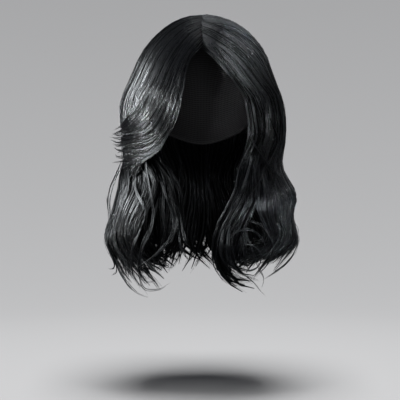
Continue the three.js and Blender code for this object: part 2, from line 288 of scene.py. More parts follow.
def hair_depth(turn, fall):
    """Depth from the hair's outer surface to its inner one."""
    side = turn_back(turn)
    to_cap = stand_off(turn, fall) - CAP_WALL - SEAT_GAP
    past = np.maximum(side - along(FACE_EDGES, EDGE_LEFT, fall), along(FACE_EDGES, EDGE_RIGHT, fall) - side)
    thinned = lerp(FACE_EDGE.depth, 1, smoothstep(past, 0, FACE_EDGE.turn))
    hanging = along(HANGING, DEPTH, fall) * thinned
    return lerp(to_cap, hanging, smoothstep(fall, WIDEST, HANGING_FREE))


def fringe_cover(turn, fall):
    """How fully the fringe lies over the long layer, from 0 to 1."""
    side = turn_back(turn)
    shares = []
    for c in COVERS:
        entered = smoothstep(side, c["from"], c["from"] + c["fade_turn"])
        left = smoothstep(side, c["to"] - c["fade_turn"], c["to"])
        shares.append(entered * (1 - left) * (1 - smoothstep(fall, c["fall"] - c["fade_fall"], c["fall"])))
    return np.maximum(*shares)


def face_edges(fall):
    """Turns of the left face edge and of the right one, counted on round the back from the left."""
    return along(FACE_EDGES, EDGE_LEFT, fall), along(FACE_EDGES, EDGE_RIGHT, fall) + 360


def line_turn(share, fall):
    """Turn of a line in the long layer at its share of the way round from the left face edge."""
    left, right = face_edges(fall)
    swing = WAVE.degrees * smoothstep(fall, WAVE.start, WAVE.full) * np.sin(np.pi * share)
    phase = 2 * np.pi * (fall / WAVE.length + WAVE.phase * share)
    return lerp(left, right, share) + swing * np.sin(phase)


def flow(share, fall):
    """How far a line at a share of the way round has swung, in degrees."""
    swings = np.stack([along(FLOW, column + 1, fall) for column in range(len(FLOW_SHARES))])
    i = np.clip(np.searchsorted(FLOW_SHARES, share, side="right") - 1, 0, len(FLOW_SHARES) - 2)
    t = (share - FLOW_SHARES[i]) / (FLOW_SHARES[i + 1] - FLOW_SHARES[i])
    low, high = (np.take_along_axis(swings, k[None], 0)[0] for k in (i, i + 1))
    return lerp(low, high, t)


def recess(share, fall):
    """How far the hair beside the right face edge lies back behind its neighbours."""
    begin, full, fade, gone = RECESS.falls
    reach = smoothstep(fall, begin, full) * (1 - smoothstep(fall, fade, gone))
    return RECESS.depth * smoothstep(share, *RECESS.shares) * reach


def tucked(turn, depth, share, fall):
    """Turn of hair at a depth, moved round beside the face so that the hair in front of it hides it."""
    near, far = TUCK.shares
    beside = (1 - smoothstep(np.minimum(share, 1 - share), near, far)) * smoothstep(fall, *TUCK.falls)
    side = turn_back(turn)
    across = np.sin(np.radians(side)) * TUCK.reach / (TUCK.reach - depth)
    behind = np.degrees(np.arcsin(np.clip(across, -TUCK.most, TUCK.most)))
    return turn + beside * (behind - side)


def on_line(line, at):
    """Turn and fall on one of the fringe's lines, with `at` counting its points."""
    turns, falls = LINES[line]
    table = np.column_stack([np.arange(len(turns)), turns, falls])
    return along(table, 1, at), along(table, 2, at)


# Strands

STRAND_SIDES = 3
CORE_SIDES = 6
STRAND_FINISH, PAINTED_SHADE_FINISH = 0, 1
PAINTED_SHADE_TONE = 0.34  # strands of a lower tone, and the bodies of wisps, take the painted-shade finish: darker and far less shiny, a painted shade between clumps and under the strands
SHEET_COLUMNS = 110  # strips across the map that the finish is baked to
STRIP = Named(across=(0.12, 0.88), along=(0.02, 0.98))  # how much of its strip a strand takes up

# How strands sway: turns in a strand's length, and how the sway grows down from the roots.
SWAY = Named(slow=(0.8, 2.2), quick=(3.0, 6.0), strength=(0.4, 1.0), at_root=0.35, way=(0.1, 0.6))

# How tufts lie across a wisp and strands in a tuft. Strays are tufts that stand out from their wisp.
TUFT = Named(
    edge=0.95, drift=0.25, uneven_tip=0.05, spread_way=(0.15, 0.5), tip_way=(0.62, 1.0),
    sway_up=0.9, frizz=1.6, closed=0.25, close_way=(0.5, 1.0), flat=0.6, tone=0.7,
)
STRAY = Named(across=1.4, tip=1.5, lift=(0.5, 2.2), lift_way=(0.1, 0.5))
STRAND = Named(
    frizz=0.6, tone=0.3, radius=(0.65, 1.25), root=0.6, root_way=(0.0, 0.15),
    tip=0.16, tip_way=(0.6, 1.0), tip_power=1.5,
)
CORE = Named(segments=20, fill=0.75, tip=0.08, tip_way=(0.78, 0.97))


def outward_at(points):
    """Direction away from the head, at points of the hair."""
    middle = np.zeros_like(points)
    middle[..., 2] = np.minimum(points[..., 2], -HEAD[2] * MM)
    return unit(points - middle)


def frames(points):
    """Side and outward directions square to paths (path, point, 3). Side points to lower turns."""
    tangent = unit(np.gradient(points, axis=1))
    side = unit(np.cross(tangent, outward_at(points)))
    return side, np.cross(side, tangent)


Wisps = namedtuple("Wisps", "points side up widths heights")


def wisps_along(points, widths, heights):
    """Wisps along paths, with half widths and half heights at each point."""
    return Wisps(points, *frames(points), widths, heights)


def curl(wisps, progress, degrees, plane):
    """Turns the paths of wisps by so many degrees as progress goes from 0 to 1.
    They turn to their side where plane is 0, outwards at 90, and to their other side at 180."""
    step = np.diff(wisps.points, axis=1)
    length = np.linalg.norm(step, axis=-1, keepdims=True)
    ahead = step / np.maximum(length, 1e-9)
    plane = np.radians(plane)[..., None]
    side, up = wisps.side[:, :-1], wisps.up[:, :-1]
    towards = np.cos(plane) * side + np.sin(plane) * up
    towards = unit(towards - ahead * (towards * ahead).sum(-1, keepdims=True))
    square = np.cross(ahead, towards)
    angle = (np.radians(degrees) * progress[:, :-1])[..., None]
    new_ahead = np.cos(angle) * ahead + np.sin(angle) * towards
    new_towards = np.cos(angle) * towards - np.sin(angle) * ahead
    points = wisps.points.copy()
    points[:, 1:] = points[:, :1] + np.cumsum(new_ahead * length, axis=1)
    new_side = np.cos(plane) * new_towards + np.sin(plane) * square
    new_up = np.sin(plane) * new_towards - np.cos(plane) * square
    order = np.minimum(np.arange(points.shape[1]), points.shape[1] - 2)
    return wisps._replace(points=points, side=new_side[:, order], up=new_up[:, order])


def tubes(paths, side, up, widths, heights, sides):
    """Closed tubes along paths (path, point, 3), with half widths and half heights at each point.
    Returns corners, faces with four corners, faces with three, and for each corner its tube, its way along
    and its place round."""
    count, length = paths.shape[:2]
    angle = np.pi / 2 + 2 * np.pi * np.arange(sides) / sides
    ring = side[:, :, None] * (np.cos(angle) * widths[..., None])[..., None]
    ring = ring + up[:, :, None] * (np.sin(angle) * heights[..., None])[..., None]
    corners = (paths[:, :, None] + ring).reshape(-1, 3)
    number = np.arange(count * length * sides).reshape(count, length, sides)
    following = np.roll(number, -1, axis=2)
    quads = np.stack([number[:, :-1], following[:, :-1], following[:, 1:], number[:, 1:]], -1).reshape(-1, 4)
    fan = np.arange(1, sides - 1)
    first = np.zeros_like(fan)
    roots = np.stack([number[:, 0, first], number[:, 0, fan + 1], number[:, 0, fan]], -1)
    tips = np.stack([number[:, -1, first], number[:, -1, fan], number[:, -1, fan + 1]], -1)
    tube = np.repeat(np.arange(count), length * sides)
    way = np.tile(np.repeat(np.linspace(0, 1, length), sides), count)
    place = np.tile(np.abs(2 * np.arange(sides) / sides - 1 + 1 / sides), count * length)
    return corners, quads, np.concatenate([roots, tips]).reshape(-1, 3), tube, way, place


def hair_mesh(name, bundles):
    """One mesh of many tubes. A bundle is (paths, side, up, widths, heights, sides, tones)."""
    parts = []
    first_corner = first_tube = 0
    for *shape, tone in bundles:
        corners, quads, triangles, tube, way, place = tubes(*shape)
        # Tubes of a low tone take the painted-shade finish, a painted shade between the bright strands.
        finish = np.where(tone < PAINTED_SHADE_TONE, PAINTED_SHADE_FINISH, STRAND_FINISH)
        parts.append((
            corners, quads + first_corner, triangles + first_corner,
            finish[tube[quads[:, 0]]], finish[tube[triangles[:, 0]]],
            tube + first_tube, way, place, tone[tube],
        ))
        first_corner += len(corners)
        first_tube += len(tone)
    whole = [np.concatenate(part) for part in zip(*parts)]
    corners, quads, triangles, quad_finish, triangle_finish, tube, way, place, tone = whole
    mesh = bpy.data.meshes.new(name)
    mesh.vertices.add(len(corners))
    mesh.vertices.foreach_set("co", corners.astype(np.float32).ravel())
    loops = np.concatenate([quads.ravel(), triangles.ravel()]).astype(np.int32)
    mesh.loops.add(len(loops))
    mesh.loops.foreach_set("vertex_index", loops)
    starts = np.concatenate([4 * np.arange(len(quads)), 4 * len(quads) + 3 * np.arange(len(triangles))])
    mesh.polygons.add(len(starts))
    mesh.polygons.foreach_set("loop_start", starts.astype(np.int32))
    mesh.polygons.foreach_set("use_smooth", np.ones(len(starts), bool))
    mesh.materials.append(hair_fibre)
    mesh.materials.append(hair_painted_shade)
    finish = np.concatenate([quad_finish, triangle_finish])
    mesh.polygons.foreach_set("material_index", finish.astype(np.int32))
    mesh.update(calc_edges=True)
    rows = math.ceil(first_tube / SHEET_COLUMNS)
    u = (tube % SHEET_COLUMNS + lerp(*STRIP.across, place)) / SHEET_COLUMNS
    v = (tube // SHEET_COLUMNS + lerp(*STRIP.along, way)) / rows
    sheet = mesh.uv_layers.new(name="OFBake")
    sheet.data.foreach_set("uv", np.column_stack([u, v])[loops].astype(np.float32).ravel())
    for label, values in (("tone", tone), ("way", way)):
        kept = mesh.attributes.new(label, "FLOAT", "POINT")
        kept.data.foreach_set("value", values.astype(np.float32))
    return mesh


def on_paths(values, which, at):
    """Values (path, point, ...) read at places from 0 to 1 along chosen paths."""
    place = np.clip(at, 0, 1) * (values.shape[1] - 1)
    low = np.minimum(place.astype(int), values.shape[1] - 2)
    t = place - low
    if values.ndim == 3:
        t = t[..., None]
    picked = which[:, None]
    return lerp(values[picked, low], values[picked, low + 1], t)


def wander(rng, groups, which, at, slow, quick):
    """A smooth seeded sway for each group of strands, in metres, with a slow part and a quick part."""
    sway = np.zeros_like(at)
    for size, rate in ((slow, SWAY.slow), (quick, SWAY.quick)):
        turns = rng.uniform(*rate, (groups, 1))[which]
        phase = rng.uniform(0, 2 * np.pi, (groups, 1))[which]
        strength = (rng.uniform(*SWAY.strength, (groups, 1)) * size * MM)[which]
        sway += strength * np.sin(2 * np.pi * turns * at + phase)
    return sway * lerp(SWAY.at_root, 1.0, smoothstep(at, *SWAY.way))


def grow(rng, wisps, tufts, strands, segments, style):
    """Strands across flat wisps, gathered in tufts."""
    count = len(wisps.points) * tufts
    spot = (np.tile(np.arange(tufts), len(wisps.points))[:, None] + rng.uniform(0, 1, (count, 1))) / tufts
    stray = rng.uniform(0, 1, (count, 1)) < style["stray"]
    across = (2 * spot - 1) * np.where(stray, STRAY.across, 1.0)
    level = rng.uniform(*style["levels"], (count, 1))
    level = level * np.sqrt(1 - np.minimum(np.abs(across), TUFT.edge) ** 2)
    lift = rng.normal(0, style["lift"] * MM, (count, 1))
    drift = rng.normal(0, TUFT.drift, (count, 1))
    shade = rng.uniform(0, 1, count)
    tuft = np.repeat(np.arange(count), strands)
    n = len(tuft)
    which = tuft // tufts
    way = np.linspace(0, 1, segments + 1)[None, :]
    early = rng.uniform(0, style["early_tip"], (count, 1))[tuft]
    ending = early + rng.uniform(0, TUFT.uneven_tip, (n, 1))
    at = lerp(rng.uniform(0, style["late_root"], (n, 1)), 1 - ending, way)
    gather = lerp(style["spread"], 1.0, smoothstep(at, *TUFT.spread_way))
    tip = np.where(stray, STRAY.tip, style["tip"])[tuft]
    gather = gather * lerp(1.0, tip, smoothstep(at, *TUFT.tip_way))
    x = (across[tuft] + drift[tuft] * at) * gather * on_paths(wisps.widths, which, at)
    y = level[tuft] * gather * on_paths(wisps.heights, which, at) + lift[tuft]
    stray_lift = stray * rng.uniform(*STRAY.lift, (count, 1)) * MM
    y = y + stray_lift[tuft] * smoothstep(at, *STRAY.lift_way)
    x = x + wander(rng, count, tuft, at, style["sway"], style["frizz"] * TUFT.frizz)
    y = y + wander(rng, count, tuft, at, style["sway"] * TUFT.sway_up, style["frizz"] * TUFT.frizz)
    own = np.arange(n)
    close = style["tuft"] * MM * lerp(1.0, TUFT.closed, smoothstep(way, *TUFT.close_way))
    round_tuft = rng.uniform(0, 2 * np.pi, (n, 1))
    off = np.sqrt(rng.uniform(0, 1, (n, 1)))
    x = x + np.cos(round_tuft) * off * close
    x = x + wander(rng, n, own, at, style["frizz"], style["frizz"] * STRAND.frizz)
    y = y + np.sin(round_tuft) * off * close * TUFT.flat
    y = y + wander(rng, n, own, at, style["frizz"], style["frizz"] * STRAND.frizz)
    side, up = on_paths(wisps.side, which, at), on_paths(wisps.up, which, at)
    paths = on_paths(wisps.points, which, at) + side * x[..., None] + up * y[..., None]
    radius = style["radius"] * MM * rng.uniform(*STRAND.radius, (n, 1))
    radius = radius * lerp(STRAND.root, 1.0, smoothstep(way, *STRAND.root_way))
    radius = radius * lerp(1.0, STRAND.tip, smoothstep(way, *STRAND.tip_way) ** STRAND.tip_power)
    tone = TUFT.tone * shade[tuft] + STRAND.tone * rng.uniform(0, 1, n)
    # A shade below 1 lowers the tone, so that more strands take the painted-shade finish.
    tone = style["shade"] * np.clip(tone, 0, 1)
    return paths, side, up, radius, radius, STRAND_SIDES, tone


def cores(wisps, sink):
    """The body of each wisp, that its strands lie on, sunk by so many of its half heights. Its dark colour
    is painted shade, for the shaded hair beneath the strands.
    """
    which = np.arange(len(wisps.points))
    at = np.linspace(0, CORE.tip_way[1], CORE.segments + 1)
    at = np.broadcast_to(at, (len(which), len(at)))
    taper = CORE.fill * lerp(1.0, CORE.tip, smoothstep(at, *CORE.tip_way))
    widths = on_paths(wisps.widths, which, at) * taper
    heights = on_paths(wisps.heights, which, at) * taper
    paths, side, up = (on_paths(values, which, at) for values in wisps[:3])
    paths = paths - up * (heights * sink)[..., None]
    return paths, side, up, widths, heights, CORE_SIDES, np.zeros(len(which))


# The long layer: wisps across each lock at three depths. The height is a share of the lock's depth. Levels
# are where strands lie, from the wisp's inner face at -1 to its outer face at 1. The sink is how far below
# its middle its body, dark with painted shade, lies. In a mixed layer some wisps end as those on the other
# side of the fork do.
LAYERS = [
    {"depth": 0.10, "height": 0.055, "wisps": 8, "tufts": 10, "strands": 3, "segments": 24,
     "levels": (-0.3, 1.0), "sink": 0.9, "mixed": 0.1},
    {"depth": 0.42, "height": 0.16, "wisps": 5, "tufts": 3, "strands": 3, "segments": 14,
     "levels": (-1.0, 1.0), "sink": 0.0, "mixed": 0.4},
    {"depth": 0.82, "height": 0.12, "wisps": 5, "tufts": 3, "strands": 3, "segments": 14,
     "levels": (-1.0, 0.3), "sink": -0.5, "mixed": 0.4},
]
FACE_LAYER = {
    "height": 0.08, "wisps": 4, "tufts": 6, "strands": 4, "segments": 24,
    "levels": (-1.0, 1.0), "sink": 0.0,
}
LONG_STYLE = {
    "late_root": 0.02, "early_tip": 0.07, "stray": 0.04, "spread": 1.1, "tip": 0.4,
    "sway": 0.9, "frizz": 0.25, "radius": 0.36, "lift": 0.3, "tuft": 1.1,
}
LONG_STATIONS = 90

# How the wisps of a lock lie, by how much they differ from one another, and how they curl at their tips.
LONG = Named(
    tip_width=0.85, tip_depth=0.45, crown=0.2, places=(0.04, 0.95), loose=(100, 200),
    overlap=(1.4, 2.3), overlap_falls=(80, 180), least_height=0.7, least_count=5,
)
UNEVEN = Named(
    across=0.2, place=0.05, face=0.03, fork_step=2.4, tips=(-18, 8), phase=0.045,
    curl=(0.75, 1.25), plane=15, bend=10,
)
CURL_POWER = 1.1

# The wave that all wisps share, weaker at the sides and the back, and each wisp's own wave.
RIPPLE = Named(
    depth=8.5, turn=0.8, peak=229.0, length=104.0,
    sides=(0.8, 1.0), at_sides=0.08, back=(0.0, 0.7), at_back=0.65,
)
OWN_WAVE = Named(length=(80, 140), turn=(0.2, 0.8), depth=(0.1, 0.6), lag=1.0)
ROOT = Named(fall=-1.5, dip=0.5, dip_fall=5.0)  # past the parting, a little below the surface
FRINGE_ROOT = 4.5  # how far above the first points of its lines the fringe starts


def root_dip(fall):
    """How far the hair's surface dips at the parting."""
    return ROOT.dip * (1 - smoothstep(fall, ROOT.fall, ROOT.dip_fall))


def uneven(rng, most, count):
    """A seeded value from -most to most for each wisp."""
    return rng.uniform(-most, most, (count, 1))


def long_wisps(rng, lock, start, end, layer, across, place):
    """Wisps of a lock at places across it and shares of its depth."""
    count = len(across)
    mixed = 0.0 if lock.name in FRONT_LOCKS else layer["mixed"]
    fork = lock.fork + mixed * np.cos(UNEVEN.fork_step * np.arange(count))[:, None]
    ends = np.where(across < fork, np.array([lock.near]), np.array([lock.far]))
    tips, bend, degrees, plane = (ends[:, k:k + 1] for k in range(4))
    tips = tips + rng.uniform(*UNEVEN.tips, (count, 1))
    fall = lerp(ROOT.fall, tips, np.linspace(0, 1, LONG_STATIONS)[None, :])
    ending = smoothstep(fall, tips - TIP_TAPER, tips)
    across = 0.5 + (across - 0.5) * lerp(1.0, LONG.tip_width, ending)
    share = lerp(start, end, across)
    loose = smoothstep(fall, *LONG.loose)
    phase = (fall - RIPPLE.peak - lock.late) / RIPPLE.length + uneven(rng, UNEVEN.phase, count)
    own = fall / rng.uniform(*OWN_WAVE.length, (count, 1)) + rng.uniform(0, 1, (count, 1))
    phase, own = 2 * np.pi * phase, 2 * np.pi * own
    swing = RIPPLE.turn * np.sin(phase) + rng.uniform(*OWN_WAVE.turn, (count, 1)) * np.sin(own)
    turn = line_turn(share, fall) + flow(share, fall) + swing * loose
    top = root_dip(fall) + fringe_cover(turn, fall) * (FRINGE_DEPTH + SEAT_GAP)
    deep = hair_depth(turn, fall)
    base = lerp(deep, lerp(top, deep, LONG.tip_depth), ending)
    crown = LONG.crown * loose * (2 * across - 1) ** 2
    depth = lerp(top, base, np.clip(place + crown * (1 - place), *LONG.places))
    depth = depth + recess(share, fall)
    sideways = smoothstep(np.abs(np.sin(np.radians(turn))), *RIPPLE.sides)
    behind = smoothstep(-np.cos(np.radians(turn)), *RIPPLE.back)
    height = RIPPLE.depth * lerp(1.0, RIPPLE.at_sides, sideways) * lerp(1.0, RIPPLE.at_back, behind)
    own_height = rng.uniform(*OWN_WAVE.depth, (count, 1))
    ripple = height * np.cos(phase) + own_height * np.cos(own + OWN_WAVE.lag)
    points = in_hair(tucked(turn, depth, share, fall), fall, depth - ripple * loose)
    edges = [in_hair(line_turn(s, fall), fall, depth) for s in (start, end)]
    width = np.linalg.norm(edges[1] - edges[0], axis=-1)
    overlap = lerp(*LONG.overlap, smoothstep(fall, *LONG.overlap_falls))
    heights = np.maximum((base - top) * layer["height"], LONG.least_height) * MM
    wisps = wisps_along(points, width / max(count, LONG.least_count) / 2 * overlap, heights)
    degrees = degrees * rng.uniform(*UNEVEN.curl, (count, 1))
    plane = plane + uneven(rng, UNEVEN.plane, count)
    bend = bend + uneven(rng, UNEVEN.bend, count)
    return curl(wisps, np.clip((fall - bend) / (tips - bend), 0, 1) ** CURL_POWER, degrees, plane)


def spread_across(rng, count):
    """Places across a lock or a band for its wisps, from 0 to 1."""
    return (np.arange(count)[:, None] + 0.5 + uneven(rng, UNEVEN.across, count)) / count


def long_lock(rng, lock, start, end):
    """Strands of one lock. A front lock also has wisps one behind the other along its face edge."""
    bundles = []
    layers = []
    for layer in LAYERS:
        count = layer["wisps"]
        across = spread_across(rng, count)
        layers.append((layer, across, layer["depth"] + uneven(rng, UNEVEN.place, count)))
    if lock.name in FRONT_LOCKS:
        count = FACE_LAYER["wisps"]
        across = FRONT_LOCKS[lock.name] + uneven(rng, UNEVEN.face, count)
        layers.append((FACE_LAYER, across, (np.arange(count)[:, None] + 0.5) / count))
    for layer, across, place in layers:
        wisps = long_wisps(rng, lock, start, end, layer, across, place)
        bundles.append(cores(wisps, layer["sink"]))
        style = {**LONG_STYLE, "levels": layer["levels"], "shade": SHADES.get(lock.name, 1.0)}
        bundles.append(grow(rng, wisps, layer["tufts"], layer["strands"], layer["segments"], style))
    return bundles


# The fringe: one layer of wisps across each band.
FRINGE_TUFTS = 7
FRINGE_STRANDS = 4
FRINGE_STYLE = {
    "late_root": 0.02, "early_tip": 0.18, "stray": 0.04, "spread": 1.1, "tip": 0.4,
    "sway": 1.3, "frizz": 0.2, "radius": 0.34, "lift": 0.5, "tuft": 0.8, "levels": (-0.6, 1.0),
}
FRINGE_STATIONS = 70
FRINGE_SEGMENTS = 22
FRINGE_SINK = 0.9

# How the wisps of a band lie on its lines, and how far their tips lift: most a little, and some in a flick.
BAND = Named(
    run_on=(1.45, 1.75), ends=(0.82, 1.0), root_way=(0.0, 0.3), level=0.45, sink=2.8,
    overlap=1.7, least_width=1.2, height=1.3,
)
FLICK = Named(more=(40, 60), rest=(4, 18), begin=0.84, power=1.2, plane=90.0)


def fringe_wisps(rng, band):
    """Wisps of one band of the fringe."""
    count = band.wisps
    last = len(LINES[band.edge][0]) - 1
    at = np.linspace(0, 1, FRINGE_STATIONS)[None, :] * last
    across = spread_across(rng, count)
    runs_on = band.sink is not None
    reach = BAND.run_on if runs_on else BAND.ends
    at = at * rng.uniform(*reach, (count, 1))
    (edge_turn, edge_fall), (far_turn, far_fall) = on_line(band.edge, at), on_line(band.far, at)
    turn, fall = lerp(edge_turn, far_turn, across), lerp(edge_fall, far_fall, across)
    fall = fall - FRINGE_ROOT * (1 - smoothstep(at, *BAND.root_way))
    beyond = np.maximum(at - last, 0)
    fall = fall + beyond * RUN_ON
    left, right = face_edges(fall)
    left_then, right_then = face_edges(lerp(edge_fall[:, -1:], far_fall[:, -1:], across))
    share = (turn - left_then) / (right_then - left_then)
    turn = np.where(beyond > 0, lerp(left, right, share), turn)
    sink = smoothstep(at, *band.sink) if runs_on else 0.0
    depth = root_dip(fall) + FRINGE_DEPTH * BAND.level + BAND.sink * sink
    points = in_hair(turn, fall, depth)
    width = np.linalg.norm(in_hair(far_turn, far_fall, 0) - in_hair(edge_turn, edge_fall, 0), axis=-1)
    widths = np.maximum(width / count / 2 * BAND.overlap, BAND.least_width * MM)
    wisps = wisps_along(points, widths, np.full_like(fall, BAND.height * MM))
    way = np.linspace(0, 1, FRINGE_STATIONS)[None, :]
    flick = rng.uniform(0, 1, (count, 1)) < band.flicks
    more = rng.uniform(*FLICK.more, flick.shape)
    degrees = np.where(flick, more, rng.uniform(*FLICK.rest, flick.shape))
    progress = np.clip((way - FLICK.begin) / (1 - FLICK.begin), 0, 1) ** FLICK.power
    return curl(wisps, np.repeat(progress, count, 0), degrees, np.full(flick.shape, FLICK.plane))


def fringe_band(rng, band):
    """Strands of one band of the fringe."""
    wisps = fringe_wisps(rng, band)
    body = cores(wisps, FRINGE_SINK)
    style = {**FRINGE_STYLE, "shade": SHADES.get(band.name, 1.0)}
    return [body, grow(rng, wisps, FRINGE_TUFTS, FRINGE_STRANDS, FRINGE_SEGMENTS, style)]


# Wisps that stand apart from the rest, by the piece that they belong to: half width, tufts, and the route as
# turn, fall and lift above the hair's surface.
APART = {
    "fringe_right_1": [
        (1.0, 3, [(-25, 104, -1), (-30, 123, 0), (-41, 138, 1), (-55, 140, 2), (-74, 139, 3),
            (-84, 137, 5), (-87, 136, 9)]),
        (1.0, 3, [(-26, 112, -1), (-31, 130, 0), (-44, 143, 1), (-58, 144, 2), (-76, 143, 3),
            (-85, 141, 7), (-88, 139, 14)]),
    ],
    "fringe_swoop": [
        (1.2, 3, [(-26, 127, -1), (-36, 142, 0), (-49, 147, 1), (-62, 148, 2), (-78, 147, 3),
            (-86, 145, 6), (-88, 143, 11)]),
        (1.2, 3, [(-23, 127, -1), (-33, 144, 0), (-46, 151, 1), (-60, 152, 2), (-77, 151, 3),
            (-86, 149, 6), (-88, 147, 10)]),
        (1.4, 4, [(-23, 133, -1), (-31, 149, 0), (-43, 157, 1), (-58, 158, 2), (-75, 156, 3),
            (-85, 153, 5), (-87, 151, 8)]),
        (1.4, 3, [(-22, 138, -1), (-30, 153, 0), (-42, 162, 1), (-57, 165, 2), (-74, 164, 3),
            (-84, 162, 4), (-87, 159, 6)]),
        (1.6, 4, [(-24, 140, -1), (-32, 157, 0), (-45, 167, 1), (-58, 173, 1), (-68, 179, 1)]),
        (1.6, 4, [(-27, 146, -1), (-36, 161, 0), (-47, 170, 1), (-57, 180, 1)]),
        (1.6, 4, [(-28, 143, -1), (-40, 160, 0), (-55, 169, 1), (-70, 175, 1), (-82, 181, 1)]),
    ],
    "fringe_left_1": [
        (1.2, 4, [(26, 8, -1), (32, 23, 0), (31, 51, 0), (34, 79, 0), (36, 96, 0), (39, 111, 0),
            (44, 134, -1)]),
        (1.0, 3, [(24, 12, -1), (30, 25, 0), (29, 48, 0), (32, 72, 0), (35, 92, 0), (38, 108, 0)]),
        (1.5, 4, [(30, 8, -1), (36, 24, 0.5), (38, 50, 0.8), (41, 78, 0.8), (45, 100, 0.5),
            (49, 122, 0)]),
    ],
    "front_lock_right": [
        (1.6, 5, [(-47, 162, -3), (-45, 175, 0), (-43, 190, 1), (-39, 212, 2), (-38, 231, 2),
            (-39, 249, 2), (-46, 271, 2), (-51, 288, 3), (-50, 298, 7), (-42, 300, 10), (-33, 293, 12)]),
        (1.0, 3, [(-40, 240, -1), (-44, 262, 1), (-52, 288, 3), (-52, 308, 8), (-38, 308, 12),
            (-24, 298, 14)]),
        (1.4, 4, [(-26, 214, -6), (-20, 232, -2), (-16, 248, 1), (-13, 257, 3), (-9, 262, 4)]),
        (1.4, 4, [(-25, 226, -6), (-20, 246, -2), (-17, 262, 2), (-14, 271, 5), (-11, 277, 6)]),
        (1.2, 4, [(-36, 190, -4), (-29, 210, 0), (-24, 232, 1), (-25, 252, 1), (-34, 268, 2),
            (-48, 282, 4), (-60, 290, 6)]),
    ],
    "side_lock_right_1": [
        (1.6, 5, [(-57, 182, -2), (-53, 200, 1), (-45, 219, 2), (-45, 237, 2), (-47, 255, 2),
            (-53, 275, 3), (-57, 296, 6), (-48, 316, 12)]),
    ],
    "side_lock_right_2": [
        (1.6, 5, [(-72, 240, -1), (-74, 262, 0), (-76, 282, 1), (-73, 300, 4), (-62, 312, 9),
            (-46, 318, 13)]),
        (1.0, 3, [(-78, 250, -1), (-76, 270, 0), (-78, 284, 2), (-84, 290, 6), (-88, 290, 12)]),
        (1.0, 3, [(-76, 256, -1), (-75, 276, 0), (-79, 292, 4), (-85, 297, 9), (-88, 298, 13)]),
        (0.9, 5, [(-78, 168, -1), (-84, 184, 4), (-87, 200, 8), (-88, 213, 7), (-88, 226, 3),
            (-86, 238, -1)]),
        (0.8, 4, [(-76, 172, -1), (-82, 186, 3), (-86, 202, 5), (-87, 214, 4), (-87, 227, 1),
            (-84, 240, -2)]),
    ],
    "front_lock_left": [
        (1.8, 6, [(41, 160, -2), (39, 174, 1), (31, 201, 2), (22, 228, 2), (16, 254, 2), (17, 273, 3),
            (29, 291, 7), (49, 306, 12)]),
        (1.4, 5, [(35, 205, -2), (27, 228, 1), (20, 254, 2), (24, 278, 4), (37, 293, 8), (53, 301, 8)]),
        (1.2, 4, [(33, 215, -4), (26, 240, 1), (23, 262, 2), (30, 284, 5), (44, 300, 9), (62, 318, 10)]),
        (0.8, 2, [(37, 222, -6), (34, 246, -2), (38, 268, 2), (46, 286, 5), (54, 300, 8), (57, 322, 10)]),
        (2.2, 7, [(34, 200, -8), (30, 225, -9), (27, 250, -9), (28, 272, -8), (34, 292, -4)]),
        (2.2, 7, [(38, 200, -10), (36, 228, -11), (33, 252, -11), (35, 275, -9), (42, 296, -4)]),
        (2.0, 6, [(30, 205, -7), (24, 232, -8), (21, 256, -7), (24, 276, -5), (33, 294, 0)]),
        (2.4, 7, [(44, 200, -12), (41, 228, -13), (38, 252, -13), (40, 275, -10), (48, 292, -6)]),
        (1.0, 3, [(23, 278, 1), (19, 265, 2), (21, 252, 2), (29, 244, 2), (37, 245, 2), (42, 253, 2),
            (46, 266, 2), (49, 280, 2)]),
        (1.0, 3, [(31, 258, 1), (37, 261, 3), (43, 271, 3), (45, 283, 3), (39, 288, 4), (30, 284, 4)]),
        (1.2, 4, [(35, 233, 0), (44, 240, 2), (48, 253, 2), (51, 268, 2), (52, 285, 2), (46, 293, 3)]),
    ],
    "side_lock_left_1": [
        (1.6, 5, [(33, 126, -1), (39, 149, 1), (50, 167, 2), (61, 186, 2), (66, 205, 2), (67, 228, 1)]),
        (1.4, 5, [(50, 180, -1), (48, 196, 1), (47, 217, 2), (55, 234, 2), (55, 250, 2), (48, 271, 3),
            (46, 288, 4)]),
    ],
    "side_lock_left_2": [
        (1.6, 5, [(52, 112, -1), (56, 131, 1), (62, 147, 2), (57, 166, 2), (50, 177, 2), (43, 192, 2),
            (34, 210, 2), (25, 232, 2)]),
        (1.2, 4, [(86, 232, -4), (88, 255, -3), (86, 272, -2), (74, 283, 1), (61, 293, 5), (52, 300, 8)]),
    ],
}
APART_STYLE = {
    "late_root": 0.08, "early_tip": 0.1, "stray": 0.0, "spread": 1.0, "tip": 0.25, "levels": (-1.0, 1.0),
    "sway": 0.5, "frizz": 0.15, "radius": 0.34, "lift": 0.1, "tuft": 0.5, "shade": 1.0,
}
APART_STATIONS = 60
APART_STRANDS = 2
APART_SEGMENTS = 28
APART_FLAT = 0.5  # height of a wisp for its width


def wisps_apart(rng, piece):
    """The wisps of a piece that stand apart."""
    bundles = []
    for width, tufts, route in APART.get(piece, []):
        table = np.column_stack([np.arange(len(route)), np.array(route)])
        at = np.linspace(0, len(route) - 1, APART_STATIONS)[None, :]
        turn, fall, lift = (along(table, column, at) for column in (1, 2, 3))
        half = np.full_like(at, width * MM)
        wisps = wisps_along(in_hair(turn, fall, -lift), half, half * APART_FLAT)
        bundles.append(grow(rng, wisps, tufts, APART_STRANDS, APART_SEGMENTS, APART_STYLE))
    return bundles


# The cap: a thin dome over the head, open below, with its rim cut up over the face and bound.
CAP_ROUND = 96
CAP_DOWN = 34
RIM_BEAD = Named(rows=6, proud=0.35)
CAP_SHEET = (0.02, 0.98)  # how much of the map's height the cap takes up


def cap_direction(turn, reach):
    """Directions from the middle of the head at turns, so many degrees down from the crown."""
    turn, reach = np.radians(turn), np.radians(reach)
    return np.stack([np.sin(reach) * np.sin(turn), -np.sin(reach) * np.cos(turn), np.cos(reach)], -1)


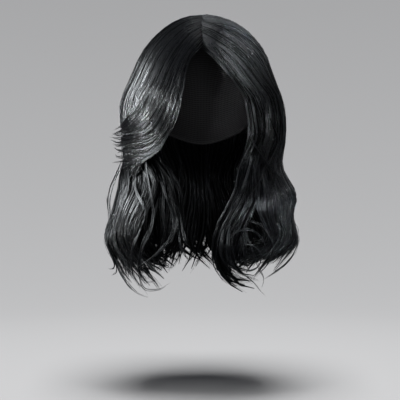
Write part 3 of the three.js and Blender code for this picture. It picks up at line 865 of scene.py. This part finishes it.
def rings_mesh(name, first, rows, last=()):
    """A smooth skin from one point out over rings of points, and in to a last point if there is one."""
    corners = np.concatenate([first, *rows, *last])
    around, end = len(rows[0]), len(corners) - 1
    faces = []
    for this in range(around):
        following = (this + 1) % around
        faces.append((0, 1 + this, 1 + following))
        for row in range(len(rows) - 1):
            low, high = 1 + row * around, 1 + (row + 1) * around
            faces.append((low + this, high + this, high + following, low + following))
        if last:
            faces.append((end, end - around + following, end - around + this))
    mesh = bpy.data.meshes.new(name)
    mesh.from_pydata(corners.tolist(), [], faces)
    mesh.polygons.foreach_set("use_smooth", np.ones(len(faces), bool))
    return mesh


def cap_mesh():
    """The cap's inner face from the crown to the rim, then its outer face back to the crown."""
    turn = 360 * np.arange(CAP_ROUND) / CAP_ROUND
    reach = along(CAP_RIM, REACH, np.abs(turn_back(turn)))
    down = np.arange(1, CAP_DOWN + 1) / CAP_DOWN
    swell = np.sin(np.pi * np.arange(RIM_BEAD.rows) / (RIM_BEAD.rows - 1)) * RIM_BEAD.proud
    bound = np.concatenate([np.zeros(CAP_DOWN - RIM_BEAD.rows), swell])
    inner, outer = [], []
    for way, proud in zip(down, bound):
        direction = cap_direction(turn, reach * way)
        inner.append(on_head(direction, np.full(CAP_ROUND, -proud)))
        outer.append(on_head(direction, np.full(CAP_ROUND, CAP_WALL + proud)))
    rows = inner + outer[::-1]
    crown = cap_direction(np.zeros(1), np.zeros(1))
    mesh = rings_mesh("cap_net", on_head(crown, [0.0]), rows, [on_head(crown, [CAP_WALL])])
    heights = np.linspace(*CAP_SHEET, len(rows) + 2)
    spots = []
    for left, right in zip(np.arange(CAP_ROUND) / CAP_ROUND, np.arange(1, CAP_ROUND + 1) / CAP_ROUND):
        spots += [((left + right) / 2, heights[0]), (left, heights[1]), (right, heights[1])]
        for top, bottom in zip(heights[1:-2], heights[2:-1]):
            spots += [(left, top), (left, bottom), (right, bottom), (right, top)]
        spots += [((left + right) / 2, heights[-1]), (right, heights[-2]), (left, heights[-2])]
    sheet = mesh.uv_layers.new(name="OFBake")
    sheet.data.foreach_set("uv", np.array(spots, np.float32).ravel())
    mesh.materials.append(cap_net)
    return mesh


# Materials

def feed(tree, made, inputs):
    """Sets a node's inputs, by a link from another node's output or by a value."""
    for name, value in inputs.items():
        if isinstance(value, bpy.types.NodeSocket):
            tree.links.new(value, made.inputs[name])
        else:
            made.inputs[name].default_value = value


def node(tree, kind, inputs, **settings):
    """The outputs of a new node."""
    made = tree.nodes.new("ShaderNode" + kind)
    for name, value in settings.items():
        setattr(made, name, value)
    feed(tree, made, inputs)
    return made.outputs


def attribute(tree, name):
    return node(tree, "Attribute", {}, attribute_name=name)["Fac"]


def ramp(tree, value, stops):
    made = tree.nodes.new("ShaderNodeValToRGB")
    while len(made.color_ramp.elements) < len(stops):
        made.color_ramp.elements.new(0.5)
    for element, (position, colour) in zip(made.color_ramp.elements, stops):
        element.position = position
        element.color = (*colour, 1)
    feed(tree, made, {"Fac": value})
    return made.outputs["Color"]


def span(tree, value, low, high, over=1.0):
    """A value that goes from low to high as another goes from 0 to `over`."""
    inputs = {"Value": value, "From Max": over, "To Min": low, "To Max": high}
    return node(tree, "MapRange", inputs)["Result"]


def joined(tree, operation, first, second):
    return node(tree, "Math", {0: first, 1: second}, operation=operation)["Value"]


def along_strands(tree, scale):
    """Noise that changes from strand to strand and down each one, from 0 to 1."""
    place = node(tree, "CombineXYZ", {"X": attribute(tree, "tone"), "Y": attribute(tree, "way")})["Vector"]
    stretched = node(tree, "Mapping", {"Vector": place, "Scale": scale})["Vector"]
    return node(tree, "TexNoise", {"Vector": stretched, "Scale": 1.0, "Detail": 3.0})["Fac"]


def new_material(name):
    material = bpy.data.materials.new(name)
    material.use_nodes = True
    return material, material.node_tree, material.node_tree.nodes["Principled BSDF"]


# How a strand's tone and its mottling mix, and how much rougher hair is near its roots.
MIX = Named(tone=(-0.15, 0.85), mottle=(-0.15, 0.45), scale=(90.0, 9.0, 1.0))
ROOTS = Named(rougher=0.36, way=0.09)
SHINE_TINT = (0.90, 0.96, 1.0, 1)
STRAND_COLOURS = [
    (0.0, (0.0008, 0.0009, 0.0012)),
    (0.6, (0.002, 0.0022, 0.0028)),
    (1.0, (0.006, 0.0064, 0.0076)),
]
# Colours of the painted-shade finish.
PAINTED_SHADE_COLOURS = [(0.0, (0.0006, 0.0006, 0.0008)), (0.3, (0.0016, 0.0017, 0.002))]


def hair_material(name, colours, rough, shine):
    """Fibre that changes in tone from strand to strand and down each one."""
    material, tree, shader = new_material(name)
    tone = span(tree, attribute(tree, "tone"), *MIX.tone)
    mottle = span(tree, along_strands(tree, MIX.scale), *MIX.mottle)
    mixed = joined(tree, "ADD", tone, mottle)
    at_roots = span(tree, attribute(tree, "way"), ROOTS.rougher, 0.0, ROOTS.way)
    feed(tree, shader, {
        "Base Color": ramp(tree, mixed, colours),
        "Roughness": joined(tree, "ADD", span(tree, mixed, *rough), at_roots),
        "Specular Tint": SHINE_TINT,
        "Specular IOR Level": shine,
    })
    return material


NET = Named(across=240, down=150, uneven=0.6, relief=0.3, rough=(0.95, 0.7))  # threads each way
NET_COLOURS = [(0.35, (0.003, 0.003, 0.0033)), (0.9, (0.026, 0.026, 0.028))]
WAVES = 3.183  # waves over the map at a scale of 1


def woven(tree):
    """Height of a net of threads, from 0 to 1."""
    place = node(tree, "UVMap", {}, uv_map="OFBake")["UV"]
    waves = []
    for direction, count in (("X", NET.across), ("Y", NET.down)):
        inputs = {"Vector": place, "Scale": count / WAVES, "Distortion": NET.uneven}
        waves.append(node(tree, "TexWave", inputs, bands_direction=direction)["Fac"])
    return joined(tree, "MAXIMUM", *waves)


def net_material():
    material, tree, shader = new_material("cap_net")
    net = woven(tree)
    relief = {"Strength": 0.6, "Distance": NET.relief * MM, "Height": net}
    feed(tree, shader, {
        "Base Color": ramp(tree, net, NET_COLOURS),
        "Roughness": span(tree, net, *NET.rough),
        "Normal": node(tree, "Bump", relief)["Normal"],
        "Specular IOR Level": 0.2,
    })
    return material


def new_collection(name):
    made = bpy.data.collections.new(name)
    bpy.context.scene.collection.children.link(made)
    return made


wig = new_collection("wig")
inside = new_collection("inside")
room = new_collection("room")
hair_fibre = hair_material("hair_fibre", STRAND_COLOURS, rough=(0.42, 0.25), shine=0.5)
# The painted-shade finish: darker and far less shiny than the fibre, a painted shade between clumps and on
# the wisps' bodies under the strands.
hair_painted_shade = hair_material("hair_painted_shade", PAINTED_SHADE_COLOURS, rough=(0.5, 0.4), shine=0.1)
cap_net = net_material()

# Pieces whose inner face shows through the face opening.
SEEN_INSIDE = ["cap"] + [lock.name for lock in LOCKS if lock.name.startswith("back_lock")]
LOCK_SEED = 100
FRINGE_SEED = 200


def add_piece(name, mesh, stands_for):
    piece = bpy.data.objects.new(name, mesh)
    wig.objects.link(piece)
    if stands_for in SEEN_INSIDE:
        inside.objects.link(piece)
    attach(piece, "root")
    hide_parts(stands_for)


add_piece("cap_shell", cap_mesh(), "cap")

way_round = sum(lock.share for lock in LOCKS)
passed = 0.0
for number, lock in enumerate(LOCKS):
    rng = np.random.default_rng(LOCK_SEED + number)
    start, end = passed / way_round, (passed + lock.share) / way_round
    passed += lock.share
    name = lock.name + "_hair"
    mesh = hair_mesh(name, long_lock(rng, lock, start, end) + wisps_apart(rng, lock.name))
    add_piece(name, mesh, lock.name)

for number, band in enumerate(FRINGE):
    rng = np.random.default_rng(FRINGE_SEED + number)
    name = band.name + "_hair"
    mesh = hair_mesh(name, fringe_band(rng, band) + wisps_apart(rng, band.name))
    add_piece(name, mesh, band.name)

# Floor, backdrop and light
FLOOR = -0.416
PAPER = (0.55, 0.55, 0.555, 1)
ROOM = Named(floor=0.8, cove=1.8, height=3.5, steps=24, round=64)


def backdrop():
    """Paper on the floor that curves up into a wall all round, which the hair doesn't mirror."""
    bend = np.linspace(0, np.pi / 2, ROOM.steps)
    radii = np.append(ROOM.floor + ROOM.cove * np.sin(bend), ROOM.floor + ROOM.cove)
    heights = np.append(ROOM.cove * (1 - np.cos(bend)), ROOM.height) + FLOOR
    angle = 2 * np.pi * np.arange(ROOM.round) / ROOM.round
    ring = np.column_stack([np.cos(angle), np.sin(angle), np.zeros_like(angle)])
    rows = [ring * radius + (0, 0, height) for radius, height in zip(radii, heights)]
    mesh = rings_mesh("backdrop", [(0.0, 0.0, FLOOR)], rows)
    material, tree, shader = new_material("backdrop_paper")
    feed(tree, shader, {"Base Color": PAPER, "Roughness": 0.9, "Specular IOR Level": 0.0})
    mesh.materials.append(material)
    stage = bpy.data.objects.new("backdrop", mesh)
    stage.visible_diffuse = False
    stage.visible_glossy = False
    room.objects.link(stage)


def area_light(name, place, aim, size, spread, watts, colour, lit):
    """A soft light that lights one collection."""
    data = bpy.data.lights.new(name, "AREA")
    data.shape = "RECTANGLE"
    data.size, data.size_y = size
    data.spread = math.radians(spread)
    data.energy = watts
    data.color = colour
    light = bpy.data.objects.new(name, data)
    light.location = place
    light.rotation_euler = (Vector(aim) - Vector(place)).to_track_quat("-Z", "Y").to_euler()
    light.light_linking.receiver_collection = lit
    light.visible_camera = False
    bpy.context.scene.collection.objects.link(light)


backdrop()
WHITE = (1.0, 1.0, 1.0)
COOL = (0.96, 0.98, 1.0)

# Place, aim, size and spread in degrees of each light, its watts and colour, and what it lights.
LIGHTS = {
    "side": ((-1.3, -0.47, 0.23), (0, 0, -0.1), (0.45, 0.65), 180, 58, WHITE, wig),
    "swoop": ((-1.3, -0.28, -0.42), (-0.05, -0.06, -0.1), (0.25, 0.2), 10, 0.28, WHITE, wig),
    "turn": ((-1.35, 0.05, -0.2), (-0.09, -0.05, -0.12), (0.2, 0.2), 8, 0.07, WHITE, wig),
    "band": ((-0.35, -1.36, -0.33), (-0.04, -0.1, -0.08), (0.05, 0.05), 3, 0.05, WHITE, wig),
    "front": ((-0.35, -1.36, -0.33), (0.07, 0, 0.05), (0.3, 0.2), 20, 0.9, WHITE, wig),
    "dome": ((-0.35, -1.36, -0.33), (0.095, -0.04, -0.02), (0.1, 0.1), 8, 0.85, WHITE, wig),
    "fringe": ((0.75, -1.15, -0.12), (0.06, -0.07, -0.01), (0.08, 0.08), 6, 0.1, WHITE, wig),
    "curl": ((0.3, -1.4, -0.1), (0.085, -0.04, -0.22), (0.1, 0.1), 4, 0.08, COOL, wig),
    "fill": ((0.8, -1.1, 0.0), (0, 0, -0.15), (0.4, 0.6), 180, 3, COOL, wig),
    "inside": ((0.1, -1.3, -0.3), (0, 0.05, -0.12), (0.4, 0.4), 180, 7, WHITE, inside),
    "top": ((0.55, 0.5, 0.72), (0, 0, -0.05), (0.4, 0.4), 180, 3, COOL, wig),
    "back": ((0.5, 1.4, 0.0), (0, 0, -0.15), (0.5, 0.5), 180, 11, WHITE, wig),
    "left": ((1.4, 0.6, 0.6), (0, 0, -0.15), (0.4, 0.8), 180, 3, WHITE, wig),
    "floor": ((0.0, -0.3, 2.2), (0, 0.4, -0.4), (1.5, 1.5), 180, 84, WHITE, room),
}
for name, settings in LIGHTS.items():
    area_light(name, *settings)

world = bpy.data.worlds.new("studio")
bpy.context.scene.world = world
world.use_nodes = True
sky = {"Color": (0.9, 0.93, 1.0, 1), "Strength": 0.09}
feed(world.node_tree, world.node_tree.nodes["Background"], sky)
bpy.context.scene.view_settings.view_transform = "Standard"
